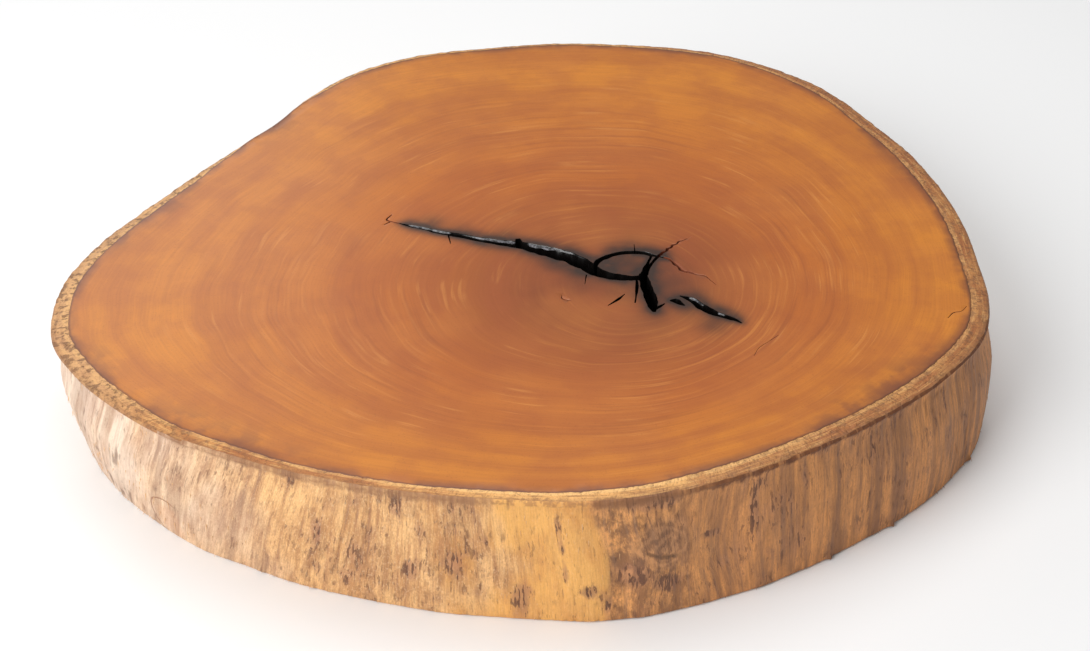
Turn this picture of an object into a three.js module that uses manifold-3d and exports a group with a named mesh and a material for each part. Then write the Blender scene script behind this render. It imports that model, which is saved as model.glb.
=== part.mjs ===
// Wood slice: one cross cut through a big trunk, about 0.9 m wide and 0.14 m
// thick, lying flat. The bark is off. The sawn top is heartwood inside a
// narrow, slightly sloping rim of sapwood. Cracks run out from the pith.
// Units are millimetres, +Z is up, and the slice rests on z = 0.
import * as THREE from 'three';
import { mergeVertices } from 'three/addons/utils/BufferGeometryUtils.js';
import Module from 'manifold-3d';

const wasm = await Module();
wasm.setup();

// Size of the slice
const THICKNESS = 140;
const RIM_DROP = 3.2; // how far the outer edge of the rim lies below the top
const EDGE_ROUND = 2.4; // rounding of the rim's outer edge
const FOOT_INSET = 2; // how far the flat underside stays inside the wall

// The trunk leans: its wall moves towards +X on the way down and falls back
// on the left. At both sides the rim overhangs the wall by a small lip, and
// the wall has a low belly halfway down. Each is strongest at one bearing,
// in degrees, and fades out over the spread to either side.
const LEAN = 9;
const UNDERCUT = { size: 11, angle: -165, spread: 78 };
const FRONT_TUCK = { size: 1, angle: -95, spread: 55 };
const LEFT_LIP = { size: 7, angle: -165, spread: 75 };
const RIGHT_LIP = { size: 4.5, angle: -22, spread: 65 };
const LEFT_BELLY = { size: 5, angle: -165, spread: 75 };
const RIGHT_BELLY = { size: 5, angle: -22, spread: 65 };

// Relief of the peeled wall
const RIB_DEPTH = 1.5; // broad ribs that run down the trunk
const GRAIN_DEPTH = 0.8; // narrower grooves between them
const LUMP_DEPTH = 1.2; // slow unevenness of the whole wall
const KNOT = { angle: -72, height: 66, across: 34, tall: 30, rise: 3.4 };
const HOLLOW = { angle: -79, height: 60, across: 13, tall: 60, rise: -3.2 };

// Fineness of the wall
const COLUMNS = 168;
const WALL_HEIGHTS = [5, 16, 30, 45, 60, 76, 92, 108, 121, 130];

// Cracks
const FLOOR_RATIO = 0.3; // width of a crack's floor against its mouth
const WAIST_RATIO = 0.78; // the same at its waist
const WAIST_AT = 0.4; // depth of the waist against the whole depth
const CUT_ABOVE = 2; // how far a cutter stands out of the face it cuts
const CRACK_DRIFT = 0.15; // how far a floor wanders sideways against the width
const UNDERSIDE_CRACK_DEPTH = 15;
const UNDERSIDE_CRACK_WIDTH = 0.4; // against the width of the crack on top

// Rim of the slice from above, counter-clockwise from the right
const RIM_POINTS = [
  [454, -50], [453, 10], [446, 68], [423, 158], [390, 231], [354, 301],
  [312, 349], [268, 383], [222, 407], [175, 420], [102, 429], [29, 431],
  [-68, 415], [-116, 404], [-163, 383], [-208, 349], [-249, 296], [-286, 219],
  [-323, 165], [-375, 81], [-436, -35], [-454, -110], [-444, -192],
  [-415, -241], [-372, -289], [-313, -336], [-257, -364], [-196, -389],
  [-110, -412], [-18, -425], [57, -428], [113, -419], [185, -393],
  [245, -361], [310, -318], [379, -259], [433, -189], [451, -127],
];

// Width of the sapwood rim at some bearings from the middle, in degrees:
// wide on the left and in front on the right, almost gone at the back left
const RIM_WIDTHS = [
  [-180, 19], [-158, 22], [-140, 19], [-118, 15], [-95, 10], [-72, 15],
  [-48, 22], [-25, 19], [-8, 14], [20, 12], [60, 13], [100, 13],
  [125, 11], [138, 3], [148, 2.5], [158, 9], [180, 19],
];

// Each crack is a run of stations: x, y, width at the mouth, depth.
const HEART_CRACK = [
  [-136, 12.5, 1.6, 20], [-124, 7, 4.4, 60], [-104, 0, 6.8, 95],
  [-86, -8, 7.4, 104], [-66, -13.5, 9, 108], [-46, -21, 9, 110],
  [-26, -26.5, 11, 112], [-6, -31.5, 13, 112], [12, -39, 15.5, 112],
  [32, -48.5, 17, 112], [48, -58, 17.5, 112], [60, -68.5, 17, 112],
  [69, -78.5, 16, 112], [82, -88, 14.5, 110], [98, -91, 12.5, 110],
  [117, -91, 12, 110],
];
const NOTCH = [[-7, -19.5, 4, 70], [-5.5, -30, 9, 100]];
const ARC_CRACK = [
  [69, -76, 5, 40], [71, -67, 4.6, 36], [75, -60, 5.4, 34],
  [82, -53.6, 6.2, 34], [92, -48.6, 6, 34], [102, -46, 5.6, 34],
  [112, -45.4, 5.4, 34], [121, -47, 5.4, 34], [128, -50.6, 4.4, 34],
  [134, -53, 3, 30], [141, -55.6, 2.2, 24], [148, -63, 2.2, 20],
  [153, -72, 2, 16], [157, -79.4, 2, 12], [164, -81.8, 1.2, 8],
];
const UPPER_BRANCH_LEFT = [
  [117.5, -86, 7, 100], [119.5, -76, 4.6, 80], [122.5, -66, 2.8, 50],
  [125.5, -56, 2.4, 36], [127, -50, 2.4, 34],
];
const UPPER_BRANCH_RIGHT = [
  [119, -86, 6, 100], [122.5, -74.5, 3.8, 80], [128, -63, 3, 50],
  [133, -53.5, 4, 44], [138, -45.5, 4, 36], [143, -38, 3.4, 28],
  [149, -31, 2.6, 20], [156, -24, 1.8, 12], [163, -20, 1, 6],
];
const LOWER_CRACK = [
  [117, -84, 8, 108], [117.6, -94, 10, 110], [119, -106, 12.4, 112],
  [120.8, -118, 14, 112], [121.6, -130, 14.6, 110], [122.6, -142, 9.5, 95],
  [124, -152, 2.4, 50],
];
const LOWER_CRACK_HOOK = [
  [124, -148, 3, 60], [130, -142.5, 3, 40], [136, -136.5, 1.4, 20],
];
const RIGHT_CRACK_WEDGE = [
  [141, -131.6, 1.6, 20], [146.4, -131.8, 7.4, 60], [151, -136.6, 4.4, 40],
  [155, -140, 1.2, 20],
];
const RIGHT_CRACK = [
  [151, -123.4, 1.8, 40], [157.5, -127, 5.4, 80], [164.5, -132.5, 11, 100],
  [169.5, -140, 12.6, 104], [177.5, -148, 12, 104], [187, -155.4, 9.6, 95],
  [196, -160.6, 6.4, 80], [203, -165, 3, 45], [207, -169.6, 1.4, 15],
];
const SIDE_CHECKS = [
  [[110.4, -94, 1.8, 60], [110.2, -108, 3, 60], [109, -121, 2, 40], [107.6, -135.5, 1.4, 20]],
  [[98, -120, 1, 10], [90, -131, 2.6, 22], [81, -140, 1, 10]],
  [[61.5, -84, 2, 40], [59.5, -104, 1, 8]],
  [[111, -47, 2, 30], [110.6, -28, 1, 8]],
  [[-78, -12, 2, 40], [-75, -29, 1, 8]],
  [[-134, 11.6, 1.6, 20], [-142, 16, 2, 14], [-138, 28, 1, 6]],
  [[-140, 12.6, 1.8, 12], [-145, 6, 1, 6]],
];

const RADIANS = Math.PI / 180;

// Size of a feature of the wall at a bearing, in degrees
function sizeAt(feature, angle) {
  const away = Math.abs(((angle - feature.angle + 540) % 360) - 180);
  const share = Math.min(away / feature.spread, 1);
  return feature.size * Math.cos(share * 90 * RADIANS) ** 2;
}

// Value at a bearing, joined smoothly between the listed bearings
function valueAround(list, angle) {
  const next = Math.max(1, list.findIndex((entry) => entry[0] >= angle));
  const [fromAngle, from] = list[next - 1];
  const [toAngle, to] = list[next];
  return from + (to - from) * THREE.MathUtils.smoothstep(angle, fromAngle, toAngle);
}

// The rim at equal steps, with the outward direction at each step
function rimStations() {
  const points = RIM_POINTS.map(([x, y]) => new THREE.Vector3(x, y, 0));
  const curve = new THREE.CatmullRomCurve3(points, true, 'centripetal');
  curve.arcLengthDivisions = 4000;
  return Array.from({ length: COLUMNS }, (_, column) => {
    const turn = column / COLUMNS;
    const place = curve.getPointAt(turn);
    const along = curve.getTangentAt(turn);
    const out = new THREE.Vector3(along.y, -along.x, 0);
    return { turn, place, out, angle: Math.atan2(place.y, place.x) / RADIANS };
  });
}

// A rounded bump on the wall around one bearing and height
function bump(spot, station, z) {
  const far = (station.angle - spot.angle) * RADIANS * station.place.length();
  const high = z - spot.height;
  return spot.rise * Math.exp(-((far / spot.across) ** 2) - (high / spot.tall) ** 2);
}

// How far the peeled wall stands out of the rim at a height
function wallRelief(station, z) {
  const down = 1 - z / THICKNESS;
  const around = station.turn * 2 * Math.PI;
  const fade = THREE.MathUtils.smoothstep(down, 0.02, 0.16);
  const undercut = (sizeAt(UNDERCUT, station.angle) + sizeAt(FRONT_TUCK, station.angle)) * down;
  const belly = (sizeAt(LEFT_BELLY, station.angle) + sizeAt(RIGHT_BELLY, station.angle))
    * Math.sin(Math.PI * down ** 1.2);
  const lip = (sizeAt(LEFT_LIP, station.angle) + sizeAt(RIGHT_LIP, station.angle))
    * THREE.MathUtils.smoothstep(down, 0.03, 0.08)
    * (1 - THREE.MathUtils.smoothstep(down, 0.12, 0.42));
  const ribs = Math.sin(19 * around + 1.3 * Math.sin(3 * around) + 0.5 * down);
  const grain = Math.sin(43 * around + 2 * Math.sin(5 * around) - 0.9 * down);
  const lumps = Math.sin(6 * around + 2.2 * down) * Math.cos(11 * around - 3.1 * down);
  const relief = RIB_DEPTH * ribs + GRAIN_DEPTH * grain + LUMP_DEPTH * lumps;
  const spots = bump(KNOT, station, z) + bump(HOLLOW, station, z);
  return belly - lip - undercut + fade * (relief + spots);
}

// One closed ring of points round the wall
function wallRing(stations, z, inset) {
  const lean = LEAN * (1 - z / THICKNESS) ** 1.3;
  return stations.map((station) => {
    const outwards = wallRelief(station, z) - inset(station);
    const point = station.place.clone().addScaledVector(station.out, outwards);
    return point.setX(point.x + lean).setZ(z);
  });
}

// The lower edge is worn round, here more and there less
function footInset(station) {
  const around = station.turn * 2 * Math.PI;
  return FOOT_INSET * (1 + 0.3 * Math.sin(13 * around) + 0.2 * Math.sin(29 * around + 1));
}

// All rings from the underside to the top face
function trunkRings(stations) {
  const width = (station) => valueAround(RIM_WIDTHS, station.angle);
  const onTop = (share, z) => stations.map((station) =>
    station.place.clone().addScaledVector(station.out, -share * width(station)).setZ(z));
  return [
    wallRing(stations, 0, footInset),
    ...WALL_HEIGHTS.map((z) => wallRing(stations, z, () => 0)),
    wallRing(stations, THICKNESS - RIM_DROP - EDGE_ROUND, () => 0),
    onTop(0.12, THICKNESS - RIM_DROP),
    onTop(0.6, THICKNESS - RIM_DROP * 0.3),
    onTop(1, THICKNESS),
  ];
}

// A closed skin over the rings, with a fan of faces at both ends
function skinRings(rings) {
  const points = rings.flat();
  const faces = [];
  const next = (column) => (column + 1) % COLUMNS;
  for (let ring = 0; ring < rings.length - 1; ring += 1) {
    for (let column = 0; column < COLUMNS; column += 1) {
      const low = ring * COLUMNS;
      const high = low + COLUMNS;
      faces.push(low + column, low + next(column), high + next(column));
      faces.push(low + column, high + next(column), high + column);
    }
  }
  const top = (rings.length - 1) * COLUMNS;
  const under = points.push(new THREE.Vector3(0, 0, 0)) - 1;
  const above = points.push(new THREE.Vector3(0, 0, THICKNESS)) - 1;
  for (let column = 0; column < COLUMNS; column += 1) {
    faces.push(under, next(column), column);
    faces.push(above, top + column, top + next(column));
  }
  return closedGeometry(points, faces);
}

function closedGeometry(points, faces) {
  const geometry = new THREE.BufferGeometry().setFromPoints(points);
  geometry.setIndex(faces);
  return geometry;
}

// The wedge of air in a crack, from above its mouth down to its floor
function crackGeometry(stations, mouth, downwards) {
  const points = [];
  const faces = [];
  stations.forEach(([x, y, width, depth], index) => {
    const before = stations[Math.max(index - 1, 0)];
    const after = stations[Math.min(index + 1, stations.length - 1)];
    const along = new THREE.Vector2(after[0] - before[0], after[1] - before[1]).normalize();
    const wander = CRACK_DRIFT * Math.sin(x / 17 + y / 23);
    const levels = [
      [-CUT_ABOVE, 1, 0],
      [0, 1, 0],
      [depth * WAIST_AT, WAIST_RATIO, wander / 2],
      [depth, FLOOR_RATIO, wander],
    ];
    for (const side of [1, -1]) {
      for (const [below, share, shift] of levels) {
        const offset = width * ((side * share) / 2 + shift);
        const z = mouth - downwards * below;
        points.push(new THREE.Vector3(x - along.y * offset, y + along.x * offset, z));
      }
    }
  });
  const around = [0, 1, 2, 3, 7, 6, 5, 4]; // the eight points of a section, in turn
  const sides = around.length;
  const quad = (a, b, c, d) => {
    const corners = downwards > 0 ? [a, b, c, a, c, d] : [c, b, a, d, c, a];
    faces.push(...corners);
  };
  for (let index = 0; index < stations.length - 1; index += 1) {
    for (let side = 0; side < sides; side += 1) {
      const here = index * sides + around[side];
      const beside = index * sides + around[(side + 1) % sides];
      quad(here, here + sides, beside + sides, beside);
    }
  }
  const last = (stations.length - 1) * sides;
  for (const end of [0, 1, 2]) {
    quad(end, end + 1, end + 5, end + 4);
    quad(last + end, last + end + 4, last + end + 5, last + end + 1);
  }
  return closedGeometry(points, faces);
}

// A closed triangle mesh as a solid for joining and cutting
function toSolid(geometry) {
  const merged = mergeVertices(geometry, 1e-5);
  const vertProperties = new Float32Array(merged.attributes.position.array);
  const triVerts = new Uint32Array(merged.index.array);
  return new wasm.Manifold(new wasm.Mesh({ numProp: 3, vertProperties, triVerts }));
}

function fromSolid(solid) {
  const { vertProperties, triVerts } = solid.getMesh();
  const geometry = new THREE.BufferGeometry();
  geometry.setAttribute('position', new THREE.BufferAttribute(vertProperties, 3));
  geometry.setIndex(new THREE.BufferAttribute(triVerts, 1));
  return geometry;
}

// The cracks on the top, and the heart crack coming out below, much narrower
function crackSolids() {
  const fromTop = [
    HEART_CRACK, NOTCH, ARC_CRACK, UPPER_BRANCH_LEFT, UPPER_BRANCH_RIGHT, LOWER_CRACK,
    LOWER_CRACK_HOOK, RIGHT_CRACK_WEDGE, RIGHT_CRACK, ...SIDE_CHECKS,
  ].map((stations) => crackGeometry(stations, THICKNESS, 1));
  const narrower = ([x, y, width]) => [x, y, width * UNDERSIDE_CRACK_WIDTH, UNDERSIDE_CRACK_DEPTH];
  const fromBelow = [HEART_CRACK.slice(2), LOWER_CRACK.slice(0, -1)]
    .map((stations) => crackGeometry(stations.map(narrower), 0, -1));
  return [...fromTop, ...fromBelow].map(toSolid);
}

// The finished slice, with the middle of its outer box over the origin
function sliceGeometry() {
  const trunk = toSolid(skinRings(trunkRings(rimStations())));
  const cracked = crackSolids().reduce((solid, crack) => solid.subtract(crack), trunk);
  const geometry = fromSolid(cracked);
  geometry.computeBoundingBox();
  const middle = geometry.boundingBox.getCenter(new THREE.Vector3());
  geometry.translate(-middle.x, -middle.y, 0);
  geometry.computeVertexNormals();
  return geometry;
}

const wood = new THREE.MeshStandardMaterial({ color: 0xc08048, roughness: 0.45, metalness: 0 });
const woodSlice = new THREE.Mesh(sliceGeometry(), wood);
woodSlice.name = 'wood_slice';

const slice = new THREE.Group();
slice.add(woodSlice);

export default slice;
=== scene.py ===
import math

import bmesh
import bpy
import numpy as np
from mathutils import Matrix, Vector
from mathutils.geometry import delaunay_2d_cdt
from mathutils.kdtree import KDTree


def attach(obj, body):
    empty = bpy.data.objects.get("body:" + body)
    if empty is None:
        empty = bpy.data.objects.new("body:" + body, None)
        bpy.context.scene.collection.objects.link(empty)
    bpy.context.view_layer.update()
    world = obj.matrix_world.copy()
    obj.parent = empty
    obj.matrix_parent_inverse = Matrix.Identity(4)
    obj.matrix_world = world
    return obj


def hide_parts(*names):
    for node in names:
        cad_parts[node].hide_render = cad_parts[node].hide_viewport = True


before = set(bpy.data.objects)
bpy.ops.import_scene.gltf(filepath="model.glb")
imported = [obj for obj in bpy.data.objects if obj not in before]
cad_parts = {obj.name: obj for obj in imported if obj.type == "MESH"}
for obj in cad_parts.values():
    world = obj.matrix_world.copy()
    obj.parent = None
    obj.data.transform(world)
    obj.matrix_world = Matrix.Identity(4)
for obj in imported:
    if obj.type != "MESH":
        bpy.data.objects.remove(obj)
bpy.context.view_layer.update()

# Peeled wall of the trunk
# The bark is off, so the wall shows the pale sapwood with its long fibres,
# scraps of inner bark, pits and a knot. It was never sawn: it leans, has a
# belly and falls back under the rim. Sizes are millimetres here.
MM = 0.001
THICKNESS = 140
SLICE_SHIFT = (-5.93, -1.0)  # from the middle of the rim to the middle of the outer box
RIM_DROP = 3.2
EDGE_ROUND = 2.4
FOOT_INSET = 2
LEAN = 9
UNDERCUT = (11, -165, 78)  # size, bearing and spread in degrees
FRONT_TUCK = (1, -95, 55)
LEFT_LIP = (7, -165, 75)
RIGHT_LIP = (4.5, -22, 65)
LEFT_BELLY = (5, -165, 75)
RIGHT_BELLY = (5, -22, 65)
RIB_DEPTH = 1.1
GRAIN_DEPTH = 0.5
LUMP_DEPTH = 1.2
KNOT = (-72, 66, 34, 30, 3.4)  # bearing, height, half width, half height, rise
HOLLOW = (-79, 60, 13, 60, -3.2)
FIBRE_DEPTH = 0.4
SCRAP_RISE = 0.5
PIT_DEPTH = 0.7
COLUMNS = 1500
WALL_ROWS = 31
NUBS = [(-51.9, 3, 3.6), (-41.9, 3, 3.8), (-25.7, 4, 3.4), (96, 3, 3)]  # bearing, height, size
# Dark spots of inner bark: place along the rim, height, half width, half height, strength
SMUDGES = [
    (1926, 131, 7, 13, 0.9), (1980, 119, 12, 12, 0.5), (2021, 122, 8, 18, 0.9), (1943, 78, 6, 22, 0.8),
    (1935, 38, 7, 20, 0.6), (1976, 56, 15, 30, 0.55), (2024, 49, 11, 15, 0.8), (2064, 58, 12, 26, 0.75),
    (2068, 124, 5, 13, 0.7), (2096, 92, 3.5, 9, 0.8), (2120, 24, 12, 26, 0.8), (2158, 118, 3.5, 17, 0.8),
    (2160, 86, 3.5, 15, 0.6), (2162, 57, 3.5, 16, 0.7), (2180, 38, 11, 9, 0.9), (2196, 22, 7, 14, 0.7),
    (2239, 131, 26, 10, 1), (2219, 53, 18, 18, 1), (2252, 38, 15, 14, 1), (2292, 84, 12, 3.5, 0.9),
    (2249, 92, 34, 24, 0.5), (1955, 110, 14, 16, 0.5), (1990, 85, 12, 18, 0.55), (2002, 30, 14, 18, 0.5),
    (2040, 95, 8, 20, 0.5), (2085, 30, 10, 16, 0.6), (2048, 20, 10, 12, 0.5), (1962, 24, 8, 14, 0.5),
    (2078, 84, 9, 22, 0.5), (2300, 50, 12, 20, 0.5), (2345, 122, 14, 14, 0.5),
    (2334, 98, 6, 26, 0.7), (2362, 92, 22, 42, 0.5), (2322, 52, 14, 36, 0.42), (2380, 40, 14, 22, 0.5),
    (2465, 105, 7, 26, 0.7), (2452, 30, 12, 20, 0.5),
    (2520, 70, 5, 34, 0.5), (2569, 105, 7, 34, 0.65), (2610, 60, 8, 30, 0.5), (2660, 100, 8, 26, 0.5),
    (1846, 118, 5, 16, 0.45), (1858, 74, 4, 20, 0.4), (1812, 126, 8, 9, 0.4),
]
KNOT_RINGS = (2249, 82)  # place along the rim, height
ROUND_CHECK = (1776.5, 23, 27)  # place along the rim, height, radius

RIM_POINTS = [
    (454, -50), (453, 10), (446, 68), (423, 158), (390, 231), (354, 301),
    (312, 349), (268, 383), (222, 407), (175, 420), (102, 429), (29, 431),
    (-68, 415), (-116, 404), (-163, 383), (-208, 349), (-249, 296), (-286, 219),
    (-323, 165), (-375, 81), (-436, -35), (-454, -110), (-444, -192),
    (-415, -241), (-372, -289), (-313, -336), (-257, -364), (-196, -389),
    (-110, -412), (-18, -425), (57, -428), (113, -419), (185, -393),
    (245, -361), (310, -318), (379, -259), (433, -189), (451, -127),
]


def smooth(value, low, high):
    share = np.clip((value - low) / (high - low), 0, 1)
    return share * share * (3 - 2 * share)


def lattice_value(corner, seed):
    """A repeatable number from -1 to 1 for each whole-numbered corner."""
    mixed = (corner * np.array([374761393, 668265263, 1442695041])).sum(axis=-1) + seed * 974634777
    mixed = (mixed ^ (mixed >> 13)) * 1274126177 & 0xFFFFFFFF
    return ((mixed ^ (mixed >> 16)) & 0xFFFF) / 32767.5 - 1


def unevenness(places, size, seed):
    """Smooth random relief from -1 to 1, with bumps of the given size."""
    scaled = places / np.array(size)
    corner = np.floor(scaled).astype(np.int64)
    inside = scaled - corner
    weight = inside * inside * (3 - 2 * inside)
    total = np.zeros(len(places))
    for step in np.ndindex(2, 2, 2):
        share = np.where(np.array(step) == 1, weight, 1 - weight).prod(axis=-1)
        total += share * lattice_value(corner + np.array(step), seed)
    return total


def rim_outline(columns):
    """The rim at equal steps: places, outward directions and bearings."""
    points = np.array(RIM_POINTS, float)
    before, after, beyond = (np.roll(points, turn, axis=0) for turn in (1, -1, -2))
    gaps = [np.linalg.norm(b - a, axis=1)[:, None] ** 0.5
            for a, b in ((before, points), (points, after), (after, beyond))]
    leave = (points - before) / gaps[0] - (after - before) / (gaps[0] + gaps[1]) \
        + (after - points) / gaps[1]
    arrive = (after - points) / gaps[1] - (beyond - points) / (gaps[1] + gaps[2]) \
        + (beyond - after) / gaps[2]
    leave, arrive = leave * gaps[1], arrive * gaps[1]
    fine = []
    for t in np.linspace(0, 1, 120, endpoint=False):
        fine.append((2 * t**3 - 3 * t**2 + 1) * points + (t**3 - 2 * t**2 + t) * leave
                    + (3 * t**2 - 2 * t**3) * after + (t**3 - t**2) * arrive)
    path = np.stack(fine, axis=1).reshape(-1, 2)
    closed = np.vstack([path, path[:1]])
    length = np.concatenate([[0], np.cumsum(np.linalg.norm(np.diff(closed, axis=0), axis=1))])
    steps = np.arange(columns) / columns * length[-1]
    place = np.stack([np.interp(steps, length, closed[:, axis]) for axis in (0, 1)], axis=1)
    along = np.roll(place, -1, axis=0) - np.roll(place, 1, axis=0)
    along /= np.linalg.norm(along, axis=1)[:, None]
    out = np.stack([along[:, 1], -along[:, 0]], axis=1)
    return place, out, np.degrees(np.arctan2(place[:, 1], place[:, 0]))


def size_at(feature, bearing):
    """How much of a broad feature there is at each bearing."""
    size, centre, spread = feature
    away = np.abs((bearing - centre + 540) % 360 - 180)
    return size * np.cos(np.radians(90 * np.minimum(away / spread, 1))) ** 2


def bump_at(feature, bearing, radius, height):
    """The rise of a rounded bump on the wall."""
    centre, level, across, tall, rise = feature
    far = np.radians(bearing - centre) * radius
    return rise * np.exp(-(far / across) ** 2 - ((height - level) / tall) ** 2)


def wall_form(bearing, radius, height):
    """How far the wall stands out of the rim, as on the solid."""
    down = 1 - height / THICKNESS
    turn = np.arange(len(bearing)) / len(bearing) * 2 * np.pi
    fade = smooth(down, 0.02, 0.16)
    undercut = (size_at(UNDERCUT, bearing) + size_at(FRONT_TUCK, bearing)) * down
    belly = (size_at(LEFT_BELLY, bearing) + size_at(RIGHT_BELLY, bearing)) * np.sin(np.pi * down**1.2)
    lip = (size_at(LEFT_LIP, bearing) + size_at(RIGHT_LIP, bearing)) \
        * smooth(down, 0.03, 0.08) * (1 - smooth(down, 0.12, 0.42))
    ribs = RIB_DEPTH * np.sin(19 * turn + 1.3 * np.sin(3 * turn) + 0.5 * down)
    grain = GRAIN_DEPTH * np.sin(43 * turn + 2 * np.sin(5 * turn) - 0.9 * down)
    lumps = LUMP_DEPTH * np.sin(6 * turn + 2.2 * down) * np.cos(11 * turn - 3.1 * down)
    spots = bump_at(KNOT, bearing, radius, height) + bump_at(HOLLOW, bearing, radius, height)
    fade = fade * (1 - 0.6 * smooth(down, 0.72, 1))
    return belly - lip - undercut + fade * (ribs + grain + lumps + spots)


rim_place, rim_out, rim_bearing = rim_outline(COLUMNS)
rim_radius = np.linalg.norm(rim_place, axis=1)
rim_length = np.linalg.norm(rim_place - np.roll(rim_place, 1, axis=0), axis=1).sum()
along_rim = np.arange(COLUMNS) / COLUMNS * rim_length


def fibre_place(height):
    """Where each point of the wall sits along its fibre: the fibres slant on
    the left and swirl round the knot, so pits and streaks follow them."""
    slant = 0.42 * size_at((1, -138, 52), rim_bearing) * (THICKNESS - height)
    far = np.radians(rim_bearing - KNOT[0]) * rim_radius
    swirl = 12 * np.sin(far / 26) * np.exp(-(far / 60) ** 2 - ((height - KNOT[1]) / 42) ** 2)
    sway = 1.2 * np.sin(height / 31 + rim_bearing / 9)
    columns = (slant + swirl + sway) / rim_length * COLUMNS
    at = np.arange(COLUMNS) + columns
    wrapped = [np.interp(at % COLUMNS, np.arange(COLUMNS + 1), np.append(axis, axis[0]))
               for axis in rim_place.T]
    return np.stack([*wrapped, np.full(COLUMNS, height)], axis=1)


def wall_detail(fibres):
    """Fine relief of the peeled wall: fibres, scraps of inner bark, pits."""
    fine = 0.6 * unevenness(fibres, (5.5, 5.5, 75), 1) + 0.4 * unevenness(fibres, (3.4, 3.4, 34), 2)
    patch = unevenness(fibres, (23, 23, 44), 3) + 0.5 * unevenness(fibres, (6, 6, 17), 4)
    scrap = smooth(patch, 0.3, 0.5)
    pit = unevenness(fibres, (3.4, 3.4, 12), 5) + 0.4 * unevenness(fibres, (45, 45, 60), 6)
    pit = smooth(pit, 0.68, 0.95)
    return FIBRE_DEPTH * fine + SCRAP_RISE * scrap - PIT_DEPTH * pit, scrap, pit


def wall_row(height, inset, detail_share):
    """One ring of points round the wall, with what its finish needs to know."""
    fibres = fibre_place(height)
    detail, scrap, pit = wall_detail(fibres)
    outwards = wall_form(rim_bearing, rim_radius, height) - inset + detail_share * detail
    for bearing, level, size in NUBS:
        nub = bump_at((bearing, level, 2.6, 3.4, size), rim_bearing, rim_radius, height)
        outwards, pit = outwards + nub, np.maximum(pit, smooth(nub, 0.5, 1.5))
    place = rim_place + rim_out * outwards[:, None]
    place[:, 0] += LEAN * (1 - height / THICKNESS) ** 1.3
    return np.column_stack([place, np.full(COLUMNS, height)]), fibres, scrap, pit


def foot_inset():
    """The lower edge is worn, chipped and frayed, here more and there less."""
    turn = np.arange(COLUMNS) / COLUMNS * 2 * np.pi
    around = np.column_stack([rim_place, np.zeros(COLUMNS)])
    worn = 1 + 0.1 * np.sin(13 * turn) + 0.1 * np.sin(29 * turn + 1)
    chips = smooth(unevenness(around, (9, 9, 9), 7), 0.4, 0.8)
    return FOOT_INSET * worn + 0.5 * unevenness(around, (4, 4, 4), 8) + 0.8 * chips


wall_heights = np.concatenate([[2.2], np.linspace(5, THICKNESS - RIM_DROP - EDGE_ROUND - 4, WALL_ROWS - 2),
                               [THICKNESS - RIM_DROP - EDGE_ROUND]])
wall_rows = [wall_row(0, foot_inset() + 1.2, 0.2), wall_row(0.7, foot_inset() * 0.5 + 0.3, 0.5)]
wall_rows += [wall_row(height, 0, min(1, (THICKNESS - RIM_DROP - height) / 6)) for height in wall_heights]


def smudged(height):
    """How dark the scraps of inner bark are at each point of a ring."""
    clean = np.ones(COLUMNS)
    for along, level, wide, tall, strength in SMUDGES:
        clean *= 1 - strength * np.exp(-((along_rim - along) / wide) ** 2 - ((height - level) / tall) ** 2)
    return 1 - clean


def linear(red, green, blue):
    """A colour given on the usual 0 to 255 scale, as light."""
    parts = (value / 255 for value in (red, green, blue))
    return (*(p / 12.92 if p <= 0.04045 else ((p + 0.055) / 1.055) ** 2.4 for p in parts), 1)


def give(tree, socket, value):
    if isinstance(value, bpy.types.NodeSocket):
        tree.links.new(value, socket)
    else:
        socket.default_value = value


def put_node(tree, kind, inputs, output=0, **settings):
    """Adds a node, fills its inputs and hands over one of its outputs."""
    made = tree.nodes.new(kind)
    for name, value in settings.items():
        setattr(made, name, value)
    for name, value in inputs.items():
        give(tree, made.inputs[name], value)
    return made.outputs[output]


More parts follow.
